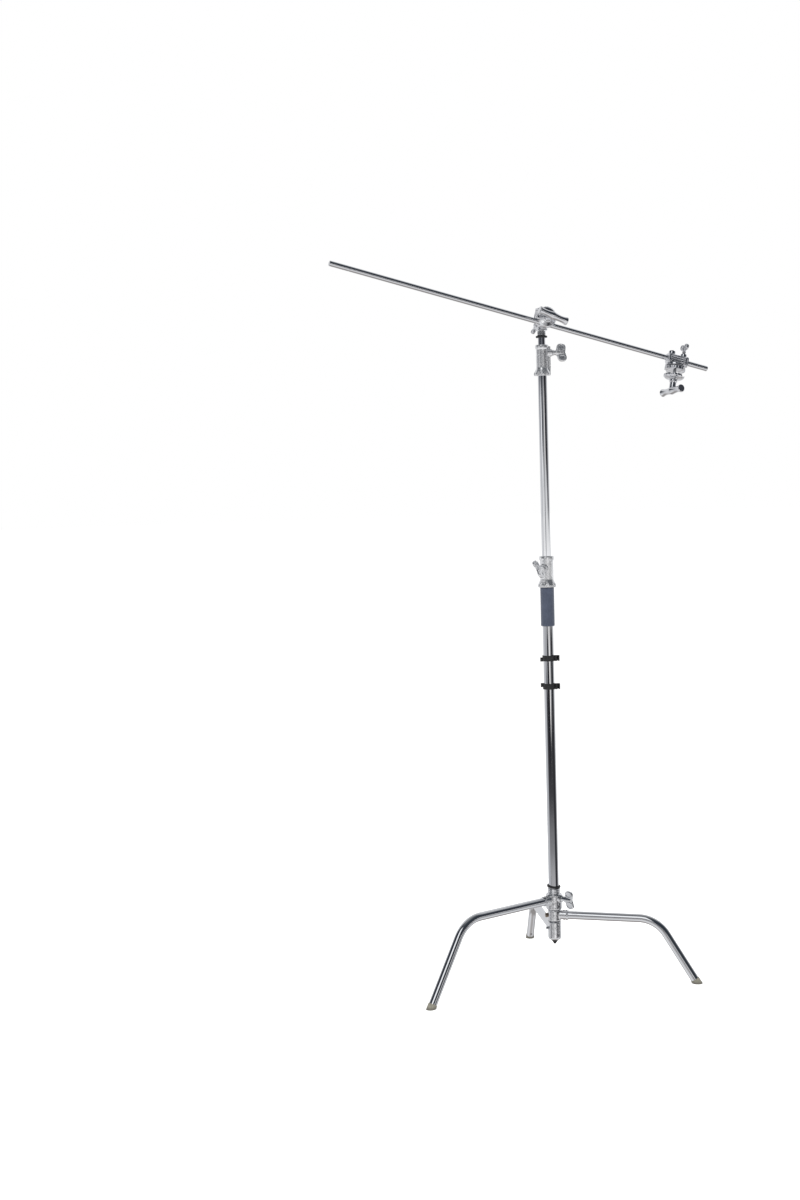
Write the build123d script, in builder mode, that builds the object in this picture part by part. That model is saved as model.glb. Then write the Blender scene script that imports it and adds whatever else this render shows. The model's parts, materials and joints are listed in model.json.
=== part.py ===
from build123d import *
from math import atan2, cos, degrees, hypot, radians, sin
import os

# Folding lighting stand with a sliding boom arm and two disc-jaw grip heads.
# Millimetres, +Z up. The origin is on the floor, on the axis of the column.

os.makedirs("parts", exist_ok=True)

# ---- driving dimensions -------------------------------------------------------
# floor and legs
# column axis to the middle of each foot on the floor, and to the corner where its leg
# turns down: all three legs turn down at nearly the same slope
FOOT_REACHES = {"top": 488, "middle": 432, "bottom": 434}
CORNER_REACHES = {"top": 351, "middle": 313, "bottom": 349}
LEG_BEND = 95               # bend radius of the leg tube, on its centreline
LEG_R = 12.7                # outside radius of the leg tube
LEG_WALL = 1.5
SOCKET_R = 14.2             # outside radius of a leg casting's socket
SOCKET_END = 44             # column axis to the mouth of a socket
MOUTH_RING = 3              # raised ring round that mouth
RIVET_R = 2
RIVET_HEAD = 1.2            # how far a rivet head stands out past its shank
RIVET_REACHES = (30, 37.2)
BOOT_R = 13.7               # rubber boot round the end of a leg
BOOT_LENGTH = 9
BOOT_FLOOR = 5              # rubber between the tube's end and the floor
TOP_LEG_TURN, MIDDLE_LEG_TURN, BOTTOM_LEG_TURN = 222, 349, 101
TOP_LEG_HEIGHT, MIDDLE_LEG_HEIGHT, BOTTOM_LEG_HEIGHT = 238, 191, 141

# hub
PIVOT_R = 12                # steel shaft that the lower two castings turn on
TOP_CASTING = (209, 257)    # bottom and top of each casting
MIDDLE_CASTING = (172.5, 208)
BOTTOM_CASTING = (113.5, 171.5)
TOP_HUB_R, MIDDLE_HUB_R, BOTTOM_HUB_R = 25, 21, 20.5
RECEIVER_FLOOR = 222        # the column stands on this shoulder
RECEIVER_TOP = 274
RECEIVER_R = 19.5
TIP_BOTTOM = 100
TIP_R = 9.5
BASE_KNOB_TURN = 320
BASE_KNOB_HEIGHT = 245

# column
RUN_FIT = 0.05              # radial clearance of a running fit
TUBE_WALL = 1.3
COLUMN_R, RISER_1_R, RISER_2_R = 16, 13.5, 11
COLLAR_1_BOTTOM, COLLAR_1_HEIGHT, COLLAR_1_SCREW = 1198, 94, 58
COLLAR_2_BOTTOM, COLLAR_2_HEIGHT, COLLAR_2_SCREW = 1833, 92, 68
COLLAR_1_TURN, COLLAR_2_TURN = 246, 15
COLLAR_WALL = 4.2
COLLAR_FLANGE = 7.5         # how far a collar's foot stands out past its barrel
COLLAR_BOSS_REACH = 30
BUSH_HEIGHT = 12
TUBE_IN_COLLAR = 38
RISER_1_BOTTOM, RISER_2_BOTTOM = 850, 955
GUIDE_HEIGHT = 30
GRIP_SLEEVE = (1080, 1197.5)
GRIP_SLEEVE_R = 20.8
RING_TALL = 5.6             # loose ring that hangs aslant above the receiver
CLIP_HEIGHTS = {"lower": 896, "upper": 982}
CLIP_TALL, TAB_TALL = 17, 12
TAB_SHIFTS = {"lower": 4, "upper": -4}
FLANGE_BOTTOM, FLANGE_TOP, FLANGE_R = 1946, 1951.7, 17
SHOULDER_R, SHOULDER_TOP = 12.5, 1965.5
STUD_R = 7.9375             # five-eighths of an inch across
STUD_TOP = 1998
HEAD_HEIGHT = 2003          # clamping bolt of the first grip head

# locking knobs
SCREW_R = 5
KNOB_NECK = 12              # hub of a knob, from its inner face to the wings
KNOB_WING_TALL, KNOB_WING_DEEP, KNOB_WING_THICK = 57, 31, 9

# grip heads
BLOCK_HALF = 13.5           # half width of the head's block
BLOCK_BACK = 15             # bore axis to the back of the block
SLEEVE_BORE = 8.0
SLEEVE_MOUTH, SLEEVE_END = -36, 31
JAW_PLANE = 35              # receiver axis to the middle of a gripped rod
JAW_R = 31.75
JAW_THICK = 12
CLOSED_GAP = 1.5            # between the jaws when they hold a rod in the large groove
BIG_GROOVE_R, BIG_GROOVE_OFFSET = 8.0, -18.6
SMALL_GROOVE_R, SMALL_GROOVE_OFFSET = 4.85, 20
PLATE_FACE = 21             # face that the inner jaw turns against
PLATE_R = 31
BOLT_SEAT = 9.5
BOSS_END = 24               # bore axis to the end of the bosses behind
PLUG_BOSS = 17              # along the bore, from the bolt to the plugged hole
PLUG_R, PLUG_DEEP = 7, 10
BOLT_END = 84
HANDLE_START = 50.5         # inner end of the T handle with the jaws closed
HANDLE_BAR = 85             # axis of the handle's bar with the jaws closed
HANDLE_LENGTH = 95
LOCK_SCREW_DROP = 24        # from the bolt to the receiver's lock screw
LOCK_KNOB_START = 30
HEAD_1_TURN = 25            # heading of the boom arm, seen from above
ARM_SLOPE = 14
HANDLE_1_SLOPE = 21
HANDLE_2_TURN = -7
HEAD_2_REACH = 453          # along the arm, from the first head to the second
HEAD_2_TIP = 8              # lean of the second head's bolt away from vertical
HEAD_2_OPEN = 12            # how far the second head's jaws stand open

# boom arm
ARM_LEFT, ARM_RIGHT = -687, 563
ARM_WALL = 2.0
TIP_LENGTH = 60
END_CAP = 6


# ---- frames ---------------------------------------------------------------------
def turned_frame(angle, height=0.0):
    """Frame on the column axis whose +X points along the heading."""
    heading = (cos(radians(angle)), sin(radians(angle)), 0)
    return Plane(origin=(0, 0, height), x_dir=heading, z_dir=(0, 0, 1)).location


# A grip head's own frame: +Y along its receiver, away from the mouth, and +Z along
# its bolt, towards the handle.
turn = radians(HEAD_1_TURN)
head_1 = Plane(
    origin=(0, 0, HEAD_HEIGHT), x_dir=(cos(turn), sin(turn), 0), z_dir=(sin(turn), -cos(turn), 0)
).location
jaws_1 = head_1 * Location((0, 0, 0), (0, 0, -ARM_SLOPE))
arm = jaws_1 * Location((0, BIG_GROOVE_OFFSET, JAW_PLANE))
tip = radians(HEAD_2_TIP)
head_2 = arm * Plane(
    origin=(HEAD_2_REACH, 0, 0), x_dir=(0, sin(tip), cos(tip)), z_dir=(0, -cos(tip), sin(tip))
).location


def save(piece, name, place=Location()):
    """Write one finished piece, put in its place in the stand's frame."""
    placed = piece.moved(place)
    placed.label = name
    export_step(placed, f"parts/{name}.step")


def ring_profile(inner, outer, low, high, edge):
    """Half section of a ring with chamfered outer edges, as radius and height."""
    return [
        (inner, low),
        (outer - edge, low),
        (outer, low + edge),
        (outer, high - edge),
        (outer - edge, high),
        (inner, high),
    ]


def turned_piece(profile):
    """A piece turned about the vertical axis from its half section."""
    with BuildPart() as piece:
        with BuildSketch(Plane.XZ):
            Polygon(*profile, align=None)
        revolve(axis=Axis.Z)
    return piece.part


# ---- legs -----------------------------------------------------------------------
def leg_casting(height, span, hub_r, bore_r):
    """Hub with one socket along +X; the bore takes the pivot shaft."""
    low, high = span
    with BuildPart() as casting:
        with BuildSketch(Plane.XZ):
            Polygon(*ring_profile(0, hub_r, low, high, 2.5), align=None)
        revolve(axis=Axis.Z)
        with BuildSketch(Plane.YZ.offset(4)):
            with Locations((0, height)):
                Circle(SOCKET_R)
        extrude(amount=SOCKET_END - MOUTH_RING - 4)
        with BuildSketch(Plane.YZ.offset(SOCKET_END - MOUTH_RING)):
            with Locations((0, height)):
                Circle(SOCKET_R + 1)
        extrude(amount=MOUTH_RING)
        with BuildSketch(Plane.XY.offset(low)):
            Circle(bore_r)
        extrude(amount=high - low, mode=Mode.SUBTRACT)
        with BuildSketch(Plane.YZ.offset(hub_r - 2)):
            with Locations((0, height)):
                Circle(LEG_R)
        extrude(amount=SOCKET_END, mode=Mode.SUBTRACT)
        with BuildSketch(Plane.XY.offset(height)):
            with Locations(*[(reach, 0) for reach in RIVET_REACHES]):
                Circle(RIVET_R)
        extrude(amount=SOCKET_R + 5, both=True, mode=Mode.SUBTRACT)
    return casting.part


def leg_axis(leg, height):
    """Length and unit direction of the run from a leg's corner down to the floor."""
    out = FOOT_REACHES[leg] - CORNER_REACHES[leg]
    run = hypot(out, height)
    return run, (out / run, -height / run)


def leg_tube(leg, height, start):
    """Bent tube: level from its socket, then down to its foot."""
    run, (out, down) = leg_axis(leg, height)
    corner = CORNER_REACHES[leg]
    cut = run - BOOT_FLOOR / -down
    end = (corner + out * cut, height + down * cut)
    with BuildPart() as tube:
        with BuildLine(Plane.XZ):
            FilletPolyline((start, height), (corner, height), end, radius=LEG_BEND)
        with BuildSketch(Plane.YZ.offset(start)):
            with Locations((0, height)):
                Circle(LEG_R)
                Circle(LEG_R - LEG_WALL, mode=Mode.SUBTRACT)
        sweep()
        with BuildSketch(Plane.XY.offset(height)):
            with Locations(*[(reach, 0) for reach in RIVET_REACHES]):
                Circle(RIVET_R)
        extrude(amount=LEG_R + 2, both=True, mode=Mode.SUBTRACT)
    return tube.part


def leg_boot(leg, height):
    """Short rubber boot, cut flat where it stands on the floor."""
    run, (out, down) = leg_axis(leg, height)
    cut = run - BOOT_FLOOR / -down
    top = cut - BOOT_LENGTH
    axis = Plane(origin=(CORNER_REACHES[leg], 0, height), x_dir=(0, 1, 0), z_dir=(out, 0, down))
    with BuildPart() as boot:
        with BuildSketch(axis.offset(top)):
            Circle(BOOT_R)
        extrude(amount=run - top + BOOT_R * 1.6)
        split(bisect_by=Plane.XY, keep=Keep.TOP)
        with BuildSketch(axis.offset(top - 1)):
            Circle(LEG_R)
        extrude(amount=cut - top + 1, mode=Mode.SUBTRACT)
    return boot.part


def leg_rivets(height):
    """Two rivets through a socket and its tube, with domed heads at both ends."""
    half = SOCKET_R
    with BuildPart() as rivets:
        for reach in RIVET_REACHES:
            with BuildSketch(Plane.XY.offset(height)):
                with Locations((reach, 0)):
                    Circle(RIVET_R)
            extrude(amount=half, both=True)
            for side in (-1, 1):
                with Locations(Location((reach, 0, height + side * half), (90 - 90 * side, 0, 0))):
                    Cone(RIVET_R + RIVET_HEAD, RIVET_R, 1.5, align=(Align.CENTER, Align.CENTER, Align.MIN))
    return rivets.part


# ---- knobs ----------------------------------------------------------------------
def wing_knob(neck, tall, deep, thick, bore_r):
    """Cast wing knob along +X: a ringed neck and a two-lobed wing."""
    half = tall / 2
    outline = [
        (neck - 3, -7),
        (neck - 3, 7),
        (neck + 0.25 * deep, half - 1),
        (neck + 0.75 * deep, half),
        (neck + deep, 0.72 * half),
        (neck + 0.78 * deep, 0),
        (neck + deep, -0.72 * half),
        (neck + 0.75 * deep, -half),
        (neck + 0.25 * deep, 1 - half),
    ]
    with BuildPart() as knob:
        with BuildSketch(Plane.XZ) as wing:
            Polygon(*outline, align=None)
            fillet(wing.vertices(), radius=0.09 * tall)
        extrude(amount=thick / 2, both=True)
        fillet(knob.faces().filter_by(Axis.Y).edges(), radius=0.32 * thick)
        with BuildSketch(Plane.XY):
            with BuildLine():
                Polyline((0, 0), (0, 9), (3, 9), (4.5, 7.2), (neck - 4, 7.2), (neck - 2, 8.6))
                Polyline((neck - 2, 8.6), (neck + 3, 8.6), (neck + 0.62 * deep, 5.6))
                Polyline((neck + 0.62 * deep, 5.6), (neck + 0.72 * deep, 0), (0, 0))
            make_face()
        revolve(axis=Axis.X)
        with BuildSketch(Plane.YZ):
            Circle(bore_r)
        extrude(amount=neck + 4, mode=Mode.SUBTRACT)
    return knob.part


def knob_screw(radius, start, end):
    """Screw along +X with a coned point, pressed into a knob."""
    with BuildPart() as screw:
        with BuildSketch(Plane.XY):
            Polygon((start, 0), (end, 0), (end, radius), (start + 2, radius), (start, radius - 2), align=None)
        revolve(axis=Axis.X)
    return screw.part


# ---- collars --------------------------------------------------------------------
def collar(tube_r, riser_r, height, screw_z):
    """Collar casting on top of a tube; its screw boss points along +X."""
    barrel = tube_r + COLLAR_WALL
    foot = barrel + COLLAR_FLANGE
    with BuildPart() as casting:
        with BuildSketch(Plane.XZ):
            Polygon(
                (0, 0), (foot - 1.5, 0), (foot, 1.5), (foot, 7), (barrel + 1.5, 19), (barrel, 23),
                (barrel, height - 13), (barrel + 2.2, height - 10), (barrel + 2.2, height - 2),
                (barrel + 0.7, height), (0, height), align=None,
            )
        revolve(axis=Axis.Z)
        # rib that carries the screw boss, and the boss itself
        with BuildSketch(Plane.XZ):
            Polygon(
                (0, 6), (foot - 1, 6), (COLLAR_BOSS_REACH - 5, 26), (COLLAR_BOSS_REACH - 5, height - 5),
                (0, height - 5), align=None,
            )
        extrude(amount=6.5, both=True)
        with BuildSketch(Plane.YZ):
            with Locations((0, screw_z)):
                Circle(11.5)
        extrude(amount=COLLAR_BOSS_REACH)
        # scallops round the foot
        with BuildSketch(Plane.XY):
            with PolarLocations(foot + 2.6, 7, start_angle=360 / 14):
                Circle(6)
        extrude(amount=30, mode=Mode.SUBTRACT)
        # tube, clearance and bush bores, from the bottom up
        with BuildSketch(Plane.XY):
            Circle(tube_r)
        extrude(amount=TUBE_IN_COLLAR, mode=Mode.SUBTRACT)
        with BuildSketch(Plane.XY):
            Circle(riser_r + 0.5)
        extrude(amount=height, mode=Mode.SUBTRACT)
        with BuildSketch(Plane.XY.offset(height - 2 - BUSH_HEIGHT)):
            Circle(tube_r)
        extrude(amount=BUSH_HEIGHT, mode=Mode.SUBTRACT)
        with BuildSketch(Plane.YZ):
            with Locations((0, screw_z)):
                Circle(SCREW_R + RUN_FIT)
        extrude(amount=COLLAR_BOSS_REACH, mode=Mode.SUBTRACT)
    return casting.part


def collar_bush(tube_r, riser_r, height):
    """Plastic bush that guides the riser in the top of a collar."""
    with BuildPart() as bush:
        with BuildSketch(Plane.XY.offset(height - 2 - BUSH_HEIGHT)):
            Circle(tube_r)
            Circle(riser_r + RUN_FIT, mode=Mode.SUBTRACT)
        extrude(amount=BUSH_HEIGHT)
    return bush.part


def plain_tube(radius, wall, low, high):
    """Straight tube on the column axis."""
    with BuildPart() as tube:
        with BuildSketch(Plane.XY.offset(low)):
            Circle(radius)
            Circle(radius - wall, mode=Mode.SUBTRACT)
        extrude(amount=high - low)
    return tube.part


def cable_clip(height, tab_shift):
    """Plastic clip band with a hook on one side and a tab on the other."""
    band = COLUMN_R + 3
    hook_x = COLUMN_R + 9
    with BuildPart() as clip:
        with BuildSketch(Plane.XY.offset(height - CLIP_TALL / 2)):
            Circle(band)
            with Locations((hook_x, -3)):
                Circle(8)
                Circle(5, mode=Mode.SUBTRACT)
            with Locations((hook_x + 3, -10)):
                Rectangle(7, 8, mode=Mode.SUBTRACT)
            Circle(COLUMN_R, mode=Mode.SUBTRACT)
        extrude(amount=CLIP_TALL)
        with BuildSketch(Plane.XY.offset(height + tab_shift - TAB_TALL / 2)) as tab:
            with Locations((-band - 2, 0)):
                Rectangle(9, 6)
            fillet(tab.vertices().sort_by(Axis.X)[:2], radius=1.5)
        extrude(amount=TAB_TALL)
    return clip.part


# ---- grip heads -----------------------------------------------------------------
def head_body():
    """Receiver block with the fixed plate that the jaws turn against."""
    block_face = Plane(origin=(0, SLEEVE_MOUTH, 0), x_dir=(1, 0, 0), z_dir=(0, 1, 0))
    length = SLEEVE_END - SLEEVE_MOUTH
    with BuildPart() as body:
        with BuildSketch(block_face):
            RectangleRounded(2 * BLOCK_HALF, 2 * BLOCK_BACK, 7)
        extrude(amount=length)
        chamfer(body.faces().filter_by(Axis.Y).edges(), length=1.2)
        # lip round the mouth and ribs along both sides
        with BuildSketch(block_face):
            RectangleRounded(2 * BLOCK_HALF + 3, 2 * BLOCK_BACK + 3, 8)
        extrude(amount=4.5)
        with BuildSketch(block_face.offset(10)):
            with Locations((0, -5), (0, 1), (0, 7)):
                Rectangle(2 * BLOCK_HALF + 2.4, 2.2)
        extrude(amount=length - 16)
        # fixed plate, square to the bore
        with BuildSketch(Plane.YZ):
            Polygon(
                (0, 8), (20, 9), (PLATE_R - 2, 13.5), (PLATE_R, 15.5), (PLATE_R, PLATE_FACE), (0, PLATE_FACE),
                align=None,
            )
        revolve(axis=Axis.Z)
        # bosses behind: the plugged hole and the lock screw
        with BuildSketch(Plane.XY):
            with Locations((0, PLUG_BOSS)):
                Circle(10)
            with Locations((0, -LOCK_SCREW_DROP)):
                Circle(9.5)
        extrude(amount=-BOSS_END)
        # receiver bore, bolt hole, blind plugged hole, lock screw hole
        with BuildSketch(block_face):
            Circle(SLEEVE_BORE)
        extrude(amount=length, mode=Mode.SUBTRACT)
        with BuildSketch(Plane.XY.offset(BOLT_SEAT)):
            Circle(SCREW_R)
        extrude(amount=PLATE_FACE, mode=Mode.SUBTRACT)
        with BuildSketch(Plane.XY.offset(-BOSS_END)):
            with Locations((0, PLUG_BOSS)):
                Circle(PLUG_R)
        extrude(amount=PLUG_DEEP, mode=Mode.SUBTRACT)
        with BuildSketch(Plane.XY):
            with Locations((0, -LOCK_SCREW_DROP)):
                Circle(SCREW_R + RUN_FIT)
        extrude(amount=-BOSS_END, mode=Mode.SUBTRACT)
    return body.part


def head_plug():
    """Black plug with a hexagonal socket, in the boss behind the block."""
    with BuildPart() as plug:
        with BuildSketch(Plane.XY.offset(-BOSS_END - 1.5)):
            with Locations((0, PLUG_BOSS)):
                Circle(PLUG_R)
        extrude(amount=PLUG_DEEP + 1.5)
        with BuildSketch(Plane.XY.offset(-BOSS_END - 1.5)):
            with Locations((0, PLUG_BOSS)):
                RegularPolygon(3.2, 6)
        extrude(amount=4, mode=Mode.SUBTRACT)
    return plug.part


def head_bolt():
    """Clamping bolt: a stud seated in the block, on which jaws and handle ride."""
    with BuildPart() as bolt:
        with BuildSketch(Plane.XY.offset(BOLT_SEAT)):
            Circle(SCREW_R)
        extrude(amount=BOLT_END - BOLT_SEAT)
    return bolt.part


def jaw(inner):
    """Disc jaw with a large and a small rod groove; the jaw face looks along the bolt."""
    face = JAW_PLANE - CLOSED_GAP / 2 if inner else JAW_PLANE + CLOSED_GAP / 2
    back = face - JAW_THICK if inner else face + JAW_THICK
    edge = 2 if inner else -2
    with BuildPart() as disc:
        with BuildSketch(Plane.XZ):
            if inner:
                Polygon(
                    (0, back), (JAW_R - 3, back), (JAW_R, back + 3), (JAW_R, face - edge / 2),
                    (JAW_R - 1, face), (0, face), align=None,
                )
            else:
                Polygon(
                    (0, back + 2), (13, back + 2), (15, back), (JAW_R - 5, back - 1.5),
                    (JAW_R, back - 6), (JAW_R, face + 1), (JAW_R - 1, face), (0, face), align=None,
                )
        revolve(axis=Axis.Z)
        for radius, offset in (
            (BIG_GROOVE_R, BIG_GROOVE_OFFSET),
            (SMALL_GROOVE_R, SMALL_GROOVE_OFFSET),
        ):
            with BuildSketch(Plane.YZ):
                with Locations((offset, JAW_PLANE)):
                    Circle(radius)
            extrude(amount=JAW_R + 5, both=True, mode=Mode.SUBTRACT)
        # shallow finger flutes round the rim
        with BuildSketch(Plane.XY.offset(min(back, face) - 5)):
            with PolarLocations(JAW_R + 4.2, 24):
                Circle(5)
        extrude(amount=JAW_THICK + 10, mode=Mode.SUBTRACT)
        with BuildSketch(Plane.XY.offset(min(back, face) - 5)):
            Circle(SCREW_R + RUN_FIT)
        extrude(amount=JAW_THICK + 12, mode=Mode.SUBTRACT)
    return disc.part


def head_washer(low, high, radius):
    """Plain washer on the bolt."""
    with BuildPart() as washer:
        with BuildSketch(Plane.XY.offset(low)):
            Circle(radius)
            Circle(SCREW_R + RUN_FIT, mode=Mode.SUBTRACT)
        extrude(amount=high - low)
    return washer.part


def t_handle():
    """T handle on the bolt: a waisted bar along X, and a boss down to the jaws."""
    half = HANDLE_LENGTH / 2
    with BuildPart() as handle:
        with BuildSketch(Plane.XZ):
            with BuildLine():
                Spline((0, 12.2), (18, 9.6), (34, 9.8), (half - 3, 12.2))
                Spline((half - 3, 12.2), (half - 0.6, 11.2), (half, 8.8))
                Polyline((half, 8.8), (half, 0), (0, 0), (0, 12.2))
            make_face()
        revolve(axis=Axis.X)
        mirror(about=Plane.YZ)
    bar = handle.part.moved(Location((0, 0, HANDLE_BAR)))
    with BuildPart() as whole:
        add(bar)
        with BuildSketch(Plane.XZ):
            Polygon(
                (0, HANDLE_START), (11.5, HANDLE_START), (12.5, HANDLE_START + 1.5),
                (12.5, HANDLE_START + 6), (10, HANDLE_START + 10), (10.5, HANDLE_BAR), (0, HANDLE_BAR),
                align=None,
            )
        revolve(axis=Axis.Z)
        with BuildSketch(Plane.XY.offset(HANDLE_START)):
            Circle(SCREW_R + RUN_FIT)
        extrude(amount=BOLT_END + 1 - HANDLE_START, mode=Mode.SUBTRACT)
    return whole.part


# ---- base -----------------------------------------------------------------------
with BuildPart() as pivot_shaft:
    with BuildSketch(Plane.XY.offset(121.5)):
        Circle(PIVOT_R)
    extrude(amount=RECEIVER_FLOOR - 121.5)
    with BuildSketch(Plane.XY.offset(121.5)):
        Circle(SCREW_R)
    extrude(amount=20, mode=Mode.SUBTRACT)
save(pivot_shaft.part, "pivot_shaft")

knob_side = BASE_KNOB_TURN - TOP_LEG_TURN
knob_plane = Plane(
    origin=(0, 0, BASE_KNOB_HEIGHT),
    x_dir=(-sin(radians(knob_side)), cos(radians(knob_side)), 0),
    z_dir=(cos(radians(knob_side)), sin(radians(knob_side)), 0),
)
with BuildPart() as top_casting:
    add(leg_casting(TOP_LEG_HEIGHT, TOP_CASTING, TOP_HUB_R, PIVOT_R))
    with BuildSketch(knob_plane.offset(RECEIVER_R + 1)):
        Circle(11)
    extrude(amount=COLLAR_BOSS_REACH - RECEIVER_R - 1)
    with BuildSketch(Plane.XY.offset(RECEIVER_FLOOR)):
        Circle(RECEIVER_R)
    extrude(amount=60, mode=Mode.SUBTRACT)
    with BuildSketch(knob_plane):
        Circle(SCREW_R + RUN_FIT)
    extrude(amount=COLLAR_BOSS_REACH, mode=Mode.SUBTRACT)
save(top_casting.part, "top_leg_casting", turned_frame(TOP_LEG_TURN))

with BuildPart() as receiver_sleeve:
    rib_low = TOP_CASTING[1]
    with BuildSketch(Plane.XZ):
        with BuildLine():
            Polyline(
                (COLUMN_R + RUN_FIT, RECEIVER_FLOOR), (RECEIVER_R, RECEIVER_FLOOR), (RECEIVER_R, rib_low),
                (RECEIVER_R, rib_low + 1), (RECEIVER_R - 1.2, rib_low + 2.5), (RECEIVER_R, rib_low + 4),
                (RECEIVER_R, rib_low + 6), (RECEIVER_R - 1.2, rib_low + 7.5), (RECEIVER_R, rib_low + 9),
                (RECEIVER_R, rib_low + 11), (RECEIVER_R - 1.2, rib_low + 12.5), (RECEIVER_R, rib_low + 14),
                (RECEIVER_R, RECEIVER_TOP - 1), (RECEIVER_R - 1, RECEIVER_TOP),
                (COLUMN_R + RUN_FIT, RECEIVER_TOP), close=True,
            )
        make_face()
    revolve(axis=Axis.Z)
    with BuildSketch(Plane.YZ):
        with Locations((0, BASE_KNOB_HEIGHT)):
            Circle(SCREW_R + RUN_FIT)
    extrude(amount=RECEIVER_R + 5, mode=Mode.SUBTRACT)
save(receiver_sleeve.part, "receiver_sleeve", turned_frame(BASE_KNOB_TURN))

middle_casting = leg_casting(MIDDLE_LEG_HEIGHT, MIDDLE_CASTING, MIDDLE_HUB_R, PIVOT_R + RUN_FIT)
save(middle_casting, "middle_leg_casting", turned_frame(MIDDLE_LEG_TURN))

with BuildPart() as bottom_casting:
    add(leg_casting(BOTTOM_LEG_HEIGHT, BOTTOM_CASTING, BOTTOM_HUB_R, PIVOT_R + RUN_FIT))
    with BuildSketch(Plane.XZ):
        low = BOTTOM_CASTING[0]
        Polygon((SCREW_R + RUN_FIT, low + 1), (14, low + 1), (14, 121.2), (SCREW_R + RUN_FIT, 121.2), align=None)
    revolve(axis=Axis.Z)
    with BuildSketch(Plane.XZ):
        with BuildLine():
            corner = (BOTTOM_HUB_R - 9, low)
            side = (BOTTOM_HUB_R + 0.1, low + 9)
            Polyline(side, (BOTTOM_HUB_R + 3, low + 9), (BOTTOM_HUB_R + 3, low - 2), (corner[0], low - 2), corner)
            ThreePointArc(corner, (BOTTOM_HUB_R - 2.6, low + 2.7), side)
        make_face()
    revolve(axis=Axis.Z, mode=Mode.SUBTRACT)
save(bottom_casting.part, "bottom_leg_casting", turned_frame(BOTTOM_LEG_TURN))

save(
    turned_piece([
        (0, TIP_BOTTOM), (2.5, TIP_BOTTOM), (TIP_R, 110), (TIP_R, BOTTOM_CASTING[0]),
        (SCREW_R, BOTTOM_CASTING[0]), (SCREW_R, 140), (0, 140),
    ]),
    "base_tip",
)

with BuildPart() as hub_washers:
    for low, high in ((MIDDLE_CASTING[1], TOP_CASTING[0]), (BOTTOM_CASTING[1], MIDDLE_CASTING[0])):
        with BuildSketch(Plane.XY.offset(low)):
            Circle(19)
            Circle(PIVOT_R, mode=Mode.SUBTRACT)
        extrude(amount=high - low)
save(hub_washers.part, "hub_washers")

for leg, height, heading, hub_r in (
    ("top", TOP_LEG_HEIGHT, TOP_LEG_TURN, TOP_HUB_R),
    ("middle", MIDDLE_LEG_HEIGHT, MIDDLE_LEG_TURN, MIDDLE_HUB_R),
    ("bottom", BOTTOM_LEG_HEIGHT, BOTTOM_LEG_TURN, BOTTOM_HUB_R),
):
    place = turned_frame(heading)
    save(leg_tube(leg, height, hub_r - 2), f"{leg}_leg_tube", place)
    save(leg_boot(leg, height), f"{leg}_leg_boot", place)
    save(leg_rivets(height), f"{leg}_leg_rivets", place)

# detents that hold the lower two legs open: a plunger on each casting's left side
for leg, heading, height, hub_r, radius in (
    ("middle", 190, 190, MIDDLE_HUB_R, 6.5),
    ("bottom", 200, 151, BOTTOM_HUB_R, 4.5),
):
    side = Plane(
        origin=(0, 0, height),
        x_dir=(-sin(radians(heading)), cos(radians(heading)), 0),
        z_dir=(cos(radians(heading)), sin(radians(heading)), 0),
    )
    with BuildPart() as detent:
        with BuildSketch(side.offset(hub_r - 1)):
            Circle(radius)
        extrude(amount=8)
        chamfer(detent.faces().sort_by(Axis.X)[0].edges(), length=1)
        with BuildSketch(Plane.XY):
            Circle(hub_r)
        extrude(amount=300, mode=Mode.SUBTRACT)
    save(detent.part, f"{leg}_leg_detent")

# ---- column -----------------------------------------------------------------------
collar_1 = turned_frame(COLLAR_1_TURN, COLLAR_1_BOTTOM)
collar_2 = turned_frame(COLLAR_2_TURN, COLLAR_2_BOTTOM)
column_top = COLLAR_1_BOTTOM + TUBE_IN_COLLAR
riser_1_top = COLLAR_2_BOTTOM + TUBE_IN_COLLAR
save(plain_tube(COLUMN_R, TUBE_WALL, RECEIVER_FLOOR + 0.3, column_top), "base_column")
save(plain_tube(RISER_1_R, TUBE_WALL, RISER_1_BOTTOM, riser_1_top), "riser_1_tube")
save(plain_tube(RISER_2_R, TUBE_WALL, RISER_2_BOTTOM, FLANGE_BOTTOM), "riser_2_tube")
for number, riser_r, outer_r, low in (
    (1, RISER_1_R, COLUMN_R, RISER_1_BOTTOM),
    (2, RISER_2_R, RISER_1_R, RISER_2_BOTTOM),
):
    guide_r = outer_r - TUBE_WALL - RUN_FIT
    save(plain_tube(guide_r, guide_r - riser_r, low, low + GUIDE_HEIGHT), f"riser_{number}_guide")

with BuildPart() as column_ring:
    lean = Plane(origin=(0, 0, 279.6), x_dir=(1, 0, 0), z_dir=(0.1, -0.05, 1))
    with BuildSketch(lean.offset(-RING_TALL / 2)):
        Circle(21)
        Circle(16.9, mode=Mode.SUBTRACT)
    extrude(amount=RING_TALL)
    fillet(column_ring.edges().filter_by(GeomType.CIRCLE).sort_by(SortBy.RADIUS)[-2:], radius=1.6)
save(column_ring.part, "column_ring")

low, high = GRIP_SLEEVE
save(turned_piece(ring_profile(COLUMN_R, GRIP_SLEEVE_R, low, high, 1.5)), "grip_sleeve")
for name, height in CLIP_HEIGHTS.items():
    save(cable_clip(height, TAB_SHIFTS[name]), f"{name}_cable_clip")

for number, place, tube_r, riser_r, height, screw_z in (
    (1, collar_1, COLUMN_R, RISER_1_R, COLLAR_1_HEIGHT, COLLAR_1_SCREW),
    (2, collar_2, RISER_1_R, RISER_2_R, COLLAR_2_HEIGHT, COLLAR_2_SCREW),
):
    save(collar(tube_r, riser_r, height, screw_z), f"collar_{number}_casting", place)
    save(collar_bush(tube_r, riser_r, height), f"collar_{number}_bush", place)

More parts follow.
